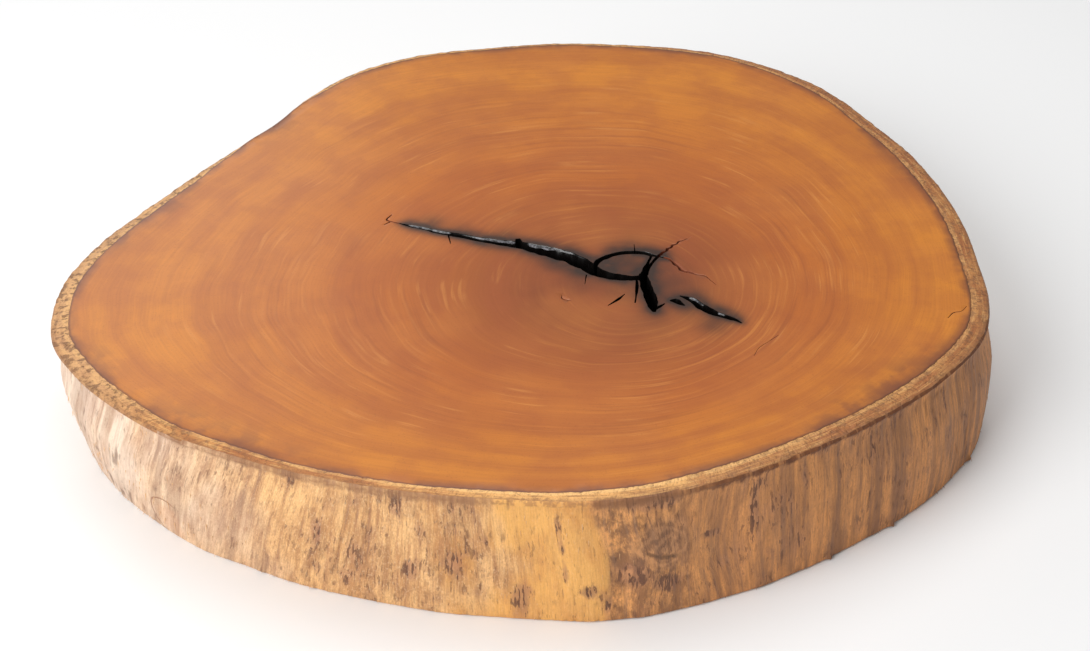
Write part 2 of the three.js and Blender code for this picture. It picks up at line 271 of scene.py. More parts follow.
class Finish:
    """A node material that is put together step by step."""

    def __init__(self, name):
        self.material = bpy.data.materials.new(name)
        self.material.use_nodes = True
        self.tree = self.material.node_tree
        self.shader = self.tree.nodes["Principled BSDF"]

    def put(self, kind, inputs, output=0, **settings):
        return put_node(self.tree, kind, inputs, output, **settings)

    def parts(self, value, kind="ShaderNodeSeparateXYZ"):
        """The three numbers of a vector or a colour."""
        return self.put(kind, {0: value}).node.outputs

    def place(self):
        return self.put("ShaderNodeTexCoord", {}, output="Object")

    def carried(self, name, output="Fac"):
        """A value that the points of the mesh carry."""
        return self.put("ShaderNodeAttribute", {}, output=output, attribute_name=name)

    def number(self, operation, *values):
        return self.put("ShaderNodeMath", dict(enumerate(values)), operation=operation)

    def plus(self, *values):
        return self.number("ADD", *values)

    def minus(self, *values):
        return self.number("SUBTRACT", *values)

    def times(self, *values):
        return self.number("MULTIPLY", *values)

    def times_plus(self, *values):
        """The first value times the second, plus the third."""
        return self.number("MULTIPLY_ADD", *values)

    def vector(self, operation, *values, output=0):
        return self.put("ShaderNodeVectorMath", dict(enumerate(values)), output, operation=operation)

    def length(self, vector):
        return self.vector("LENGTH", vector, output="Value")

    def stretched(self, vector, scale):
        return self.vector("MULTIPLY", vector, scale)

    def cloud(self, vector, scale=1.0, detail=2.0, roughness=0.5):
        """Soft noise, mostly between 0.3 and 0.7."""
        return self.put("ShaderNodeTexNoise", {"Vector": vector, "Scale": scale, "Detail": detail,
                                               "Roughness": roughness})

    def between(self, value, low, high, out_low=0.0, out_high=1.0):
        """A smooth step from one result to the other as the value goes from low to high."""
        return self.put("ShaderNodeMapRange", {"Value": value, "From Min": low, "From Max": high,
                                               "To Min": out_low, "To Max": out_high},
                        interpolation_type="SMOOTHSTEP")

    def blend(self, share, under, over):
        """Lays one colour over another. A plain colour is given from 0 to 255."""
        under, over = (linear(*tint) if isinstance(tint, tuple) else tint for tint in (under, over))
        return self.put("ShaderNodeMix", {0: share, 6: under, 7: over}, output=2, data_type="RGBA")

    def relief(self, height, distance, strength, under=None):
        inputs = {"Height": height, "Distance": distance, "Strength": strength}
        if under is not None:
            inputs["Normal"] = under
        return self.put("ShaderNodeBump", inputs)

    def done(self, **sockets):
        for name, value in sockets.items():
            give(self.tree, self.shader.inputs[name.replace("_", " ")], value)
        return self.material


def knot_rings(f, colour, fibres, wall_place):
    """The grown-over branch: bent rings and one dark seam."""
    wobble = f.put("ShaderNodeTexNoise",
                   {"Vector": fibres, "Scale": 34.0, "Detail": 5.0, "Roughness": 0.62}, output="Color")
    sway, ring_gap = 0.028, 0.0085
    centre = (KNOT_RINGS[0] * MM + sway / 2, KNOT_RINGS[1] * MM + sway / 2, sway / 2)
    bent = f.vector("MULTIPLY_ADD", wobble, (sway, sway, sway), f.vector("SUBTRACT", wall_place, centre))
    far = f.length(bent)
    rings = f.number("SINE", f.times(far, 2 * math.pi / ring_gap))
    ringed = f.blend(f.between(rings, -0.9, 0.9), (122, 88, 66), (172, 126, 90))
    colour = f.blend(f.between(far, 0.036, 0.016, 0.0, 0.5), colour, ringed)
    sides = f.parts(bent)
    seam = f.number("ABSOLUTE", f.times_plus(sides[0], 0.2, f.plus(sides[1], 0.009)))
    reach = f.between(f.number("ABSOLUTE", sides[0]), 0.019, 0.01)
    return f.blend(f.times(f.between(seam, 0.004, 0.0006, 0.0, 0.65), reach), colour, (78, 52, 38))


def round_check(f, colour, uneven, wall_place):
    """A hair-fine round check low on the left, with browner wood inside."""
    along, level, size = (value * MM for value in ROUND_CHECK)
    spot = f.vector("SUBTRACT", wall_place, (along, level, 0))
    far = f.times_plus(uneven, 0.004, f.length(spot))
    left = f.between(f.parts(spot)[0], 0.014, 0.008)
    off_line = f.number("ABSOLUTE", f.minus(far, size + 0.002))
    colour = f.blend(f.times(f.between(far, size, size - 0.012, 0.0, 0.3), left), colour, (196, 138, 98))
    return f.blend(f.times(f.between(off_line, 0.0014, 0.0004, 0.0, 0.75), left), colour, (140, 92, 64))


def wall_finish():
    """Bare sapwood, cream on the left to grey-brown on the right, partly its
    own tint and partly painted light on the left and painted shade on the right,
    with streaks along the fibres and smudges full of small dark ticks where the
    inner bark came off last."""
    f = Finish("peeled_wall")
    fibres = f.carried("fibre", "Vector")
    wall_place = f.carried("wall_place", "Vector")
    pale, golden, knot = f.parts(f.carried("wall_tints", "Color"), "ShaderNodeSeparateColor")
    brown = f.carried("wall_brown_and_shade")
    height = f.parts(fibres)[2]

    def fibrous(across, along, detail=2, roughness=0.5):
        """Noise drawn out along the fibres, by how fast it changes across and along them."""
        return f.cloud(f.stretched(fibres, (across, across, along)), detail=detail, roughness=roughness)

    broad = fibrous(24, 11, 3, 0.6)
    patch = fibrous(46, 26, 6, 0.7)
    streak = fibrous(210, 11, 5, 0.62)
    mottle = fibrous(90, 42, 5, 0.68)
    strand = fibrous(620, 55, 3, 0.62)
    speck = fibrous(760, 380, 2, 0.6)
    tick = fibrous(430, 78, 2)
    cluster = f.between(fibrous(55, 26, 3), 0.5, 0.64)
    bands = f.plus(fibrous(42, 7, 4, 0.62), fibrous(84, 4.5, 2))
    bands = f.times_plus(bands, 0.31, f.times_plus(streak, 0.26, f.times(mottle, 0.12)))
    bands = f.between(bands, 0.41, 0.59)
    tone = f.times_plus(streak, 0.4, f.times(broad, 0.32))
    tone = f.between(f.times_plus(mottle, 0.28, tone), 0.41, 0.59)

    # The plain tan wood, then its pale, golden, knotty and brown parts; the pale left and brown right are
    # partly painted light and shade
    colour = f.blend(tone, (190, 138, 90), (236, 186, 127))
    colour = f.blend(pale, colour, f.blend(tone, (204, 173, 150), (230, 209, 188)))
    colour = f.blend(golden, colour, f.blend(f.between(broad, 0.36, 0.64), (206, 142, 78), (232, 173, 97)))
    colour = f.blend(knot, colour,
                     f.blend(f.between(f.plus(mottle, patch), 0.84, 1.14), (136, 94, 62), (238, 168, 100)))
    # Brown right side: partly its own tint, partly painted shade on the side away from the lamp
    colour = f.blend(brown, colour, f.blend(bands, (160, 110, 72), (224, 154, 92)))
    washed = f.between(fibrous(58, 7, 3), 0.46, 0.62, 0.0, 0.62)
    washed = f.times(washed, f.times_plus(pale, -0.4, 1.1))
    colour = f.blend(f.times(washed, f.between(pale, 0.0, 0.3)), colour, (157, 123, 100))
    grey_streak = f.times(f.between(streak, 0.46, 0.32), f.between(broad, 0.6, 0.42, 0.05, 0.8))
    grey_streak = f.times(grey_streak, f.times_plus(f.plus(golden, brown), -0.4, 0.62))
    colour = f.blend(grey_streak, colour, (138, 108, 90))

    # Scraps of inner bark, dents and pits, and then single strands and specks
    rest = f.minus(1.0, f.times_plus(pale, 0.8, f.times(golden, 0.6)))
    smudge = f.times_plus(f.minus(mottle, 0.5), 1.5, f.carried("smudge"))
    smudge = f.between(smudge, 0.25, 0.75)
    soft = f.times(f.between(patch, 0.53, 0.63), f.times(rest, 0.55))
    soft = f.number("MAXIMUM", soft, f.times(f.carried("scrap"), f.times(rest, 0.4)))
    dirt = f.number("MAXIMUM", soft, smudge)
    colour = f.blend(f.times(dirt, 0.68), colour,
                     f.blend(f.between(mottle, 0.4, 0.6), (128, 88, 70), (170, 120, 90)))
    dents = f.times_plus(dirt, 0.13, f.times_plus(cluster, f.times(rest, 0.07), tick))
    dents = f.between(dents, 0.64, 0.69)
    dents = f.times(dents, f.times_plus(dirt, 0.7, 0.3))
    colour = f.blend(f.times(dents, 0.85), colour, (86, 54, 42))
    colour = f.blend(f.times(f.carried("pit"), 0.6), colour, (92, 60, 44))
    calm = f.minus(1.0, f.times_plus(golden, 0.6, f.times(pale, 0.62)))
    shoulder = f.between(height, 0.1318, 0.1344)
    strands = f.times(f.between(strand, 0.3, 0.6, 0.4, 0.0), f.times_plus(shoulder, -0.8, calm))
    colour = f.blend(strands, colour, (136, 94, 66))
    colour = f.blend(f.times(f.between(speck, 0.5, 0.7, 0.0, 0.3), calm), colour, (140, 98, 68))
    dusty = f.times(f.between(speck, 0.45, 0.3, 0.0, 0.2), f.times_plus(brown, -0.9, calm))
    colour = f.blend(f.times(dusty, f.times_plus(knot, -0.85, 1.0)), colour, (254, 230, 190))

    # Close under the rim, by height in metres: crumbs, a darker border band of painted shade, and a thin
    # ragged line of painted shadow where the rim overhangs
    # Darker band of painted shade close under the rim, mostly on the left and front
    under_rim_shade = f.between(f.times_plus(mottle, 0.016, height), 0.135, 0.1405)
    under_rim_shade = f.times(under_rim_shade, f.minus(0.8, f.times(f.plus(brown, golden), 0.7)))
    under_rim_shade = f.times(under_rim_shade, f.between(patch, 0.4, 0.58, 0.45, 1.0))
    crumbs = f.cloud(f.place(), scale=190, detail=4, roughness=0.65)
    colour = f.blend(f.times(shoulder, f.between(crumbs, 0.4, 0.58, 0.0, 0.55)), colour, (146, 102, 70))
    colour = f.blend(under_rim_shade, colour, (142, 100, 70))
    # Thin ragged line of painted shadow under the overhanging rim, darkest on the brown right
    ragged = f.times_plus(f.minus(mottle, 0.5), 0.022, height)
    shade = f.times(f.between(ragged, 0.1295, 0.134), f.number("MAXIMUM", brown, f.times(knot, 0.4)))
    colour = f.blend(f.times(shade, f.between(mottle, 0.35, 0.5, 0.3, 0.85)), colour, (92, 48, 26))
    colour = knot_rings(f, colour, fibres, wall_place)
    colour = round_check(f, colour, mottle, wall_place)
    relief = f.plus(f.times(streak, 0.5), f.times(strand, 0.4))
    relief = f.minus(relief, f.times(dents, 0.5))
    return f.done(Base_Color=colour, Roughness=f.between(streak, 0.3, 0.7, 0.55, 0.75),
                  Normal=f.relief(relief, 0.001, 0.85), Specular_IOR_Level=0.35)


peeled_wall = wall_finish()

# Sapwood rim round the top
# A narrow band of paler wood between the heartwood and the bark that is gone.
# It slopes a little outwards, and its end grain is open and torn at the edge.
RIM_WIDTHS = [  # bearing in degrees, width
    (-180, 16), (-158, 18), (-144, 16.5), (-130, 12.5), (-116, 9.5), (-102, 8.5),
    (-90, 10), (-78, 13.5), (-64, 15.5), (-52, 16.5), (-38, 17), (-24, 18), (-8, 19),
    (18, 21), (42, 19), (60, 15), (85, 11), (110, 11), (127, 9),
    (137, 2.5), (147, 2), (156, 8), (166, 13), (180, 15),
]
RIM_PALENESS = [  # bearing, how pale the wood is
    (-180, 0.75), (-158, 0.6), (-144, 0.5), (-130, 0.3), (-108, 0.25), (-94, 0.9), (-82, 0.92),
    (-66, 0.45), (-50, 0.25), (-20, 0.2), (10, 0.2), (35, 0.1), (60, 0.3), (90, 0.45), (125, 0.8),
    (160, 0.85), (180, 0.75),
]
RIM_TORN = [  # bearing, how torn the end grain is
    (-180, 1), (-145, 0.9), (-125, 0.35), (-80, 0.15), (-50, 0.5), (0, 0.5), (90, 0.5), (150, 0.9),
    (180, 1),
]
# Bearing, how far the wall runs on over the rounded shoulder, as at the front
RIM_FADING = [(-180, 0), (-136, 0), (-129, 1), (-78, 1), (-66, 0.5), (-22, 0.5), (-12, 0), (180, 0)]
RIM_SHARES = (0.06, 0.2, 0.38, 0.58, 0.8)
RING_REACH = 440  # from the pith to the rim, as the patterns of the materials take it


def read_off(table, at):
    """The value of a table of pairs at each place, in a straight line between them."""
    return np.interp(at, *np.array(table, float).T)


def rim_width():
    """The width of the rim band, eased from one measured bearing to the next."""
    bearings, widths = np.array(RIM_WIDTHS, float).T
    spot = np.clip(np.searchsorted(bearings, rim_bearing), 1, len(bearings) - 1)
    share = smooth(rim_bearing, bearings[spot - 1], bearings[spot])
    return widths[spot - 1] + (widths[spot] - widths[spot - 1]) * share


rim_widths = rim_width()
rim_torn = read_off(RIM_TORN, rim_bearing)


def rim_row(share):
    """One line round the rim band, from its outer edge (0) to the heartwood (1)."""
    around = np.column_stack([rim_place, np.full(COLUMNS, share * 20)])
    torn = 0.9 * unevenness(around, (7, 7, 9), 11) + 0.5 * unevenness(around, (3.5, 3.5, 5), 12) - 0.7
    torn = (1 - share) ** 2 * torn
    ripple = (0.3 + 0.9 * rim_torn) * share * (1 - share) * 4 * unevenness(around, (4.5, 4.5, 6), 13)
    inwards = share * rim_widths
    drop = RIM_DROP * (1 - share) ** 1.4
    worn = np.maximum(0, unevenness(around, (11, 11, 11), 14))
    drop = drop + np.maximum(0, -ripple) + 0.4 * (1 - share) * worn
    place = rim_place - rim_out * (inwards - torn)[:, None]
    return np.column_stack([place, THICKNESS - np.maximum(drop, 0)])


rim_rows = [rim_row(share) for share in RIM_SHARES]
heart_edge = np.column_stack([rim_place - rim_out * rim_widths[:, None], np.full(COLUMNS, THICKNESS)])
shoulder_rows = np.round(2 * read_off(RIM_FADING, rim_bearing))


def end_grain(f, rings):
    """Colour and height of the open end grain: a bright strip next to the
    heartwood that is a painted highlight along the edge, bands along the rim,
    and short dark ticks across it."""
    outwards = f.vector("NORMALIZE", rings)
    radius = f.length(rings)
    share = f.carried("rim_share")

    def around(turns, spacing, detail=3.0):
        across = f.put("ShaderNodeCombineXYZ", {"Z": f.times(radius, RING_REACH / spacing)})
        return f.cloud(f.vector("ADD", f.stretched(outwards, (turns, turns, 0)), across), detail=detail,
                       roughness=0.6)

    bands, ticks, patches, lumps = around(14, 2.8), around(230, 13), around(11, 30, 4.0), around(95, 7)
    torn = f.carried("rim_torn")
    pores = f.cloud(f.place(), scale=520, detail=2)
    crumbs = f.cloud(f.place(), scale=150, detail=4, roughness=0.66)
    pale = f.plus(f.carried("rim_paleness"), f.times(f.minus(patches, 0.5), 1.6))
    colour = f.blend(f.between(pale, 0.0, 1.0), (166, 102, 55), (226, 168, 98))
    colour = f.blend(f.between(torn, 0.5, 1.0, 0.0, 0.55), colour, (192, 151, 115))
    smooth_part = f.times_plus(torn, -0.6, 1.0)
    colour = f.blend(f.times(f.between(bands, 0.5, 0.66, 0.0, 0.7), smooth_part), colour, (132, 86, 54))
    colour = f.blend(f.times(f.between(bands, 0.48, 0.34, 0.0, 0.6), smooth_part), colour, (240, 188, 118))
    # Painted highlight: a bright strip along the inner edge where the rim bends down
    arris_highlight = f.times(f.between(share, 0.68, 0.8), f.between(around(20, 60), 0.38, 0.5, 0.2, 0.9))
    arris_highlight = f.times(arris_highlight, f.between(f.carried("rim_paleness"), 0.1, 0.7, 0.3, 1.0))
    colour = f.blend(f.times(arris_highlight, f.times_plus(torn, -0.7, 1.0)), colour, (242, 190, 122))
    crumbly = f.times_plus(crumbs, 0.65, f.times(lumps, 0.35))
    chunks = f.times(f.between(crumbly, 0.5, 0.6), f.times_plus(torn, 0.8, 0.05))
    colour = f.blend(chunks, colour, (122, 86, 58))
    whole = f.number("MINIMUM", f.between(torn, 1.0, 0.6, 0.3, 1.0), f.between(torn, 0.1, 0.5, 0.45, 1.0))
    colour = f.blend(f.times(f.between(ticks, 0.54, 0.68, 0.0, 0.5), whole), colour, (98, 62, 38))
    colour = f.blend(f.between(pores, 0.56, 0.7, 0.0, 0.4), colour, (112, 74, 46))
    ragged = f.times_plus(f.minus(ticks, 0.5), 0.9, share)
    colour = f.blend(f.between(ragged, 0.3, 0.05, 0.0, 0.5), colour, (136, 94, 62))
    uneven = f.times_plus(lumps, 0.7, f.times_plus(ticks, 0.5, share))
    fading = f.carried("rim_fading")
    seam = f.times(f.between(uneven, 1.2, 0.85), f.between(patches, 0.38, 0.6, 0.1, 0.65))
    colour = f.blend(f.times(seam, fading), colour, (128, 84, 54))
    height = f.plus(f.times(chunks, -0.9), f.times(pores, -0.4))
    return colour, f.times_plus(f.times(ticks, whole), -0.7, height)


# Cracks of the heart
# They opened as the slice dried, starting at the pith. The maker sprayed them
# with black lacquer, which hangs glossy on their torn walls. Each crack is a
# run of stations: x, y, width at the mouth, depth.
HEART_CRACK = [
    (-130, 10, 0.8, 12), (-122, 6.6, 2.6, 50), (-104, 0, 4.8, 95),
    (-86, -8, 5.8, 104), (-66, -13.5, 7.4, 108), (-46, -21, 8, 110),
    (-26, -26.5, 9.6, 112), (-6, -31.5, 12, 112), (12, -39, 15, 112),
    (32, -48.5, 17, 112), (48, -58, 17.5, 112), (60, -68.5, 17, 112),
    (69, -79, 15.5, 112), (82, -88, 11.8, 110), (98, -91.4, 10, 110),
    (110, -92, 7.8, 110), (118, -91, 8.5, 110),
]
NOTCH = [(-7, -19.5, 4, 70), (-5.5, -30, 9, 100)]
ARC_CRACK = [
    (69, -76, 5, 40), (71, -67, 4.6, 36), (75, -60, 5.4, 34),
    (82, -53.6, 6.2, 34), (92, -48.6, 6, 34), (102, -46, 5.6, 34),
    (112, -45.4, 5.4, 34), (121, -47, 5.4, 34), (128, -50.6, 4.4, 34),
    (134, -53, 2.8, 26), (141, -55.6, 2, 14), (145, -59, 1.4, 6),
]
ARC_TAIL = [
    (138, -54.4, 2.4, 14), (144, -57.6, 3, 12), (147.4, -62.6, 2.2, 11), (149.6, -67, 3, 10),
    (152.6, -71, 2, 9), (155.4, -77.6, 3, 8), (159, -80.6, 1.9, 6), (163, -81.4, 2.6, 5),
    (169, -85.6, 0.9, 3), (178, -88.4, 1.2, 3), (183, -96, 0.6, 3), (188, -104, 0.5, 3),
]
UPPER_BRANCH_LEFT = [
    (117.5, -86, 7, 100), (119.5, -76, 4.6, 80), (122.5, -66, 2.8, 50),
    (125.5, -56, 2.4, 36), (127, -50, 2.4, 34),
]
UPPER_BRANCH_RIGHT = [
    (119, -86, 6, 100), (122.5, -74.5, 3.6, 80), (128, -63, 2.8, 50),
    (132.5, -55, 3, 40), (137, -48.4, 2.6, 20), (140, -44.4, 1.6, 8),
]
UPPER_BRANCH_TAIL = [
    (136, -49.6, 2.6, 18), (139, -45, 3.2, 14), (142.8, -42.4, 2, 11), (143.8, -38.6, 3, 9),
    (148, -36, 1.8, 8), (149.4, -32, 2.6, 7), (153.6, -30, 1.4, 5), (156, -25.4, 1.7, 4),
    (160.6, -22.8, 0.9, 3), (165, -19.6, 0.6, 3),
]
LOWER_CRACK = [
    (117, -84, 7.6, 108), (117.8, -94, 9.2, 110), (119.4, -106, 10.8, 112),
    (121.4, -118, 12.2, 112), (123, -130, 12.8, 110), (124.4, -142, 9, 95),
    (125.2, -151, 2.4, 50),
]
LOWER_CRACK_HOOK = [(124, -148, 3, 60), (130, -142.5, 3, 40), (136, -136.5, 1.4, 20)]
RIGHT_CRACK_WEDGE = [
    (141, -131.6, 1.6, 20), (146.4, -131.8, 7.4, 60), (151, -136.6, 4.4, 40),
    (155, -140, 1.2, 20),
]
RIGHT_CRACK = [
    (151, -123.4, 1.8, 40), (157.5, -127, 4.6, 80), (164.5, -132.5, 8.4, 100),
    (169.5, -140, 9.4, 104), (177.5, -148, 8.8, 104), (187, -155.4, 7.4, 95),
    (196, -160.6, 5.2, 80), (203, -165, 3, 45), (207, -169.6, 1.4, 15),
]
SIDE_CHECKS = [
    [(110.4, -94, 1.8, 60), (110.2, -108, 3, 60), (109, -121, 2, 40), (107.6, -135.5, 1.4, 20)],
    [(98, -120, 1, 10), (90, -131, 2.6, 22), (81, -140, 1, 10)],
    [(61.5, -86, 1.1, 20), (59.5, -103, 0.5, 5)],
    [(111, -47, 1.3, 20), (110.6, -30, 0.6, 6)],
    [(-78, -12, 1.6, 40), (-75, -29, 0.8, 8)],
]
FINE_CHECKS = [
    [(-130, 10, 1.4, 6), (-136, 12.6, 1.3, 4), (-142.6, 16, 2, 3), (-138, 27, 0.9, 3)],
    [(-139, 12.6, 1.7, 4), (-145, 7, 1, 3)],
    [(37, -122, 0.5, 3), (37, -128, 1.2, 4), (46, -132, 0.5, 3)],
    [(214, -222, 0.4, 0.6), (220, -209, 0.5, 1.2), (227, -202, 0.4, 0.9), (240, -189, 0.4, 0.6)],
    [(404, -161, 0.4, 0.8), (413, -151, 0.9, 2), (418, -150, 0.6, 1.6), (426, -141, 0.4, 0.8)],
]
SPRAYED = [HEART_CRACK, ARC_CRACK, UPPER_BRANCH_LEFT, UPPER_BRANCH_RIGHT, LOWER_CRACK, RIGHT_CRACK,
           RIGHT_CRACK_WEDGE]
# Ledges of pooled lacquer: place along x, share of the crack's width
HEART_LEDGES = [
    (-130, 0), (-120, 0.05), (-114, 0.3), (-100, 0.2), (-97, 0.06), (-94, 0.24), (-80, 0.2), (-76, 0.04),
    (-56, 0.08), (-40, 0.2), (-13, 0.25), (-9, 0), (0, 0), (3, 0.26), (18, 0.2), (34, 0.07), (52, 0.03),
    (60, 0),
]
RIGHT_LEDGES = [
    (151, 0), (158, 0), (161, 0.24), (168, 0.18), (171, 0), (183, 0), (185, 0.18), (190, 0.12), (192, 0),
]
CUT_ABOVE = 2
FULL_DEPTH = 112
NARROWING = 0.62
# Lines down the side of the deepest crack: millimetres below the mouth, how far
# the crack has narrowed there, and how far its ledges stand in
SIDE_LINES = [
    (-CUT_ABOVE, 0, 0), (0, 0, 0), (0.25, 0, 0.1), (0.45, 0, 0.6), (0.65, 0, 1), (3.4, 0, 1), (7, 0.02, 1),
    (12, 0.1, 1), (22, 0.3, 1), (40, 0.6, 1), (70, 0.85, 1), (FULL_DEPTH, 1, 1),
]
LEDGE_LINES = (2, 3)  # the ledges lie between these lines and the next ones
UNDERSIDE_DEPTH = 15
UNDERSIDE_WIDTH = 0.4
# Places of the surfaces in the slice's list of materials
TOP, WALL, UNDERSIDE, BLACK_CRACK, BARE_SPLIT, PAINTED_LEDGE_GLINT = range(6)


def crack_line(stations, step):
    """The stations of a crack joined by a smooth line."""
    points = np.array(stations, float)
    length = np.concatenate([[0], np.cumsum(np.linalg.norm(np.diff(points[:, :2], axis=0), axis=1))])
    fine = np.linspace(0, length[-1], max(6, int(length[-1] / step)))
    slopes = np.gradient(points, length, axis=0)
    spot = np.clip(np.searchsorted(length, fine, side="right") - 1, 0, len(points) - 2)
    span = (length[spot + 1] - length[spot])[:, None]
    t = (fine - length[spot])[:, None] / span
    eased = (2 * t**3 - 3 * t**2 + 1) * points[spot] + (t**3 - 2 * t**2 + t) * span * slopes[spot] \
        + (3 * t**2 - 2 * t**3) * points[spot + 1] + (t**3 - t**2) * span * slopes[spot + 1]
    eased[:, 2:] = np.maximum(eased[:, 2:], 0.4)
    return eased


def crack_cutter(stations, seed, ledges=(), surface=BLACK_CRACK, mouth=THICKNESS, downwards=1, step=2.0):
    """Closed mesh of the air in a crack, with a material for each face. Ledges
    are places along x with the share of the width that stays as a step under
    the far lip."""
    line = crack_line(stations, step)
    along = np.gradient(line[:, :2], axis=0)
    along /= np.linalg.norm(along, axis=1)[:, None]
    left = np.column_stack([-along[:, 1], along[:, 0]])
    width, depth = line[:, 2], line[:, 3]
    ledge = read_off(ledges, line[:, 0]) if ledges else np.zeros(len(line))
    mouth_line = np.column_stack([line[:, :2], line[:, 0] * 0])
    ledge = ledge * (1 + 0.35 * unevenness(mouth_line, (7, 7, 7), seed + 90))
    rows = []
    for side in (1, -1):
        for below, narrow, stepped in SIDE_LINES:
            deep = below
            if below > 0:
                deep = depth * (1 - math.exp(-below / 40)) / (1 - math.exp(-FULL_DEPTH / 40))
            share = 0.5 * (1 - NARROWING * narrow)
            if side > 0:
                share = share - ledge * stepped * (1 - narrow)
            places = np.column_stack([line[:, :2], np.full(len(line), max(below, 0) * 0.8 + side * 50)])
            torn = 0.08 * unevenness(places, (9, 9, 16), seed) \
                + 0.06 * unevenness(places, (3.2, 3.2, 6), seed + 50)
            torn = torn * (1 + 2.5 * np.exp(-width / 2))
            rolled = 0.3 * math.exp(-max(below, 0) / 0.5) * np.minimum(width / 4, 1)
            offset = side * (width * (share + torn) + rolled)
            edge = line[:, :2] + left * offset[:, None]
            rows.append(np.column_stack([edge, mouth - downwards * (deep + np.zeros(len(line)))]))
    count, sides = len(line), len(rows)
    verts = np.concatenate(rows)
    order = list(range(sides // 2)) + list(range(sides - 1, sides // 2 - 1, -1))
    faces, kinds = [], []
    for first, second in zip(order, order[1:] + order[:1]):
        for spot in range(count - 1):
            faces.append((first * count + spot, first * count + spot + 1,
                          second * count + spot + 1, second * count + spot))
            # Ledge faces get the grey painted reflection just under the far lip
            kinds.append(PAINTED_LEDGE_GLINT if first in LEDGE_LINES and ledge[spot] > 0.1 else surface)
    for end in (0, count - 1):
        ring = [level * count + end for level in order]
        half = len(ring) // 2
        for level in range(half - 1):
            faces.append((ring[level], ring[level + 1], ring[-2 - level], ring[-1 - level]))
            kinds.append(surface)
    return verts, faces, kinds


def crack_finish():
    """Black lacquer that ran down the torn walls of the cracks."""
    f = Finish("black_crack_lacquer")
    place = f.place()
    runs = f.cloud(f.stretched(place, (160, 160, 60)), detail=3, roughness=0.6)
    drops = f.cloud(place, scale=420, detail=2)
    relief = f.times_plus(drops, 0.3, runs)
    return f.done(Base_Color=linear(12, 9, 8), Roughness=f.between(runs, 0.3, 0.7, 0.2, 0.42),
                  Normal=f.relief(relief, 0.0008, 0.5), Specular_IOR_Level=0.4, Coat_Weight=0.25,
                  Coat_IOR=1.5, Coat_Roughness=0.2)


def painted_glint_finish():
    """Lacquer that pooled on the ledges, with a painted reflection: its grey colour stands in for the glint
    of the light.
    """
    f = Finish("ledge_painted_glint")
    runs = f.cloud(f.stretched(f.place(), (240, 240, 100)), detail=4, roughness=0.6)
    return f.done(Base_Color=f.blend(f.between(runs, 0.4, 0.6), (20, 19, 20), (104, 103, 108)),
                  Roughness=0.35, Normal=f.relief(runs, 0.0006, 0.5), Specular_IOR_Level=0.4)


def split_finish():
    """The finest checks took no lacquer and show dark red wood."""
    f = Finish("bare_split")
    grain = f.cloud(f.stretched(f.place(), (300, 300, 40)), detail=3)
    return f.done(Base_Color=f.blend(grain, (78, 34, 18), (150, 74, 38)), Roughness=0.75,
                  Normal=f.relief(grain, 0.0008, 0.6))


cutters = [
    crack_cutter(HEART_CRACK, 20, HEART_LEDGES), crack_cutter(NOTCH, 21), crack_cutter(ARC_CRACK, 22),
    crack_cutter(UPPER_BRANCH_LEFT, 23), crack_cutter(UPPER_BRANCH_RIGHT, 24),
    crack_cutter(LOWER_CRACK, 25), crack_cutter(LOWER_CRACK_HOOK, 26),
    crack_cutter(RIGHT_CRACK_WEDGE, 27), crack_cutter(RIGHT_CRACK, 28, RIGHT_LEDGES),
]
cutters += [crack_cutter(check, 30 + number) for number, check in enumerate(SIDE_CHECKS)]
cutters += [crack_cutter(check, 50 + number, surface=BARE_SPLIT)
            for number, check in enumerate([ARC_TAIL, UPPER_BRANCH_TAIL, *FINE_CHECKS])]
for number, crack in enumerate((HEART_CRACK[2:], LOWER_CRACK[:-1])):
    below = [(x, y, width * UNDERSIDE_WIDTH, UNDERSIDE_DEPTH) for x, y, width, _ in crack]
    cutters.append(crack_cutter(below, 40 + number, surface=BARE_SPLIT, mouth=0, downwards=-1, step=4.0))


def crack_distance(places):
    """Distance from each place to the edge of the nearest crack that was sprayed."""
    nearest = np.full(len(places), 1e9)
    for crack in SPRAYED:
        for x, y, width, _ in crack_line(crack, 3.0):
            nearest = np.minimum(nearest, np.hypot(places[:, 0] - x, places[:, 1] - y) - width / 2)
    return nearest


# Sawn top and underside
# The top is sanded flat and lacquered, the underside is left as sawn. Both
# show the growth rings, so their points carry a map of the rings.
TOP_STEP = 12
TOP_STEP_AT_CRACKS = 4
NEAR_CRACKS = 34
UNDERSIDE_STEP = 17
PITH = (117, -110)
FAR_FROM_RIM = 200
SHARP_ANGLE = 42


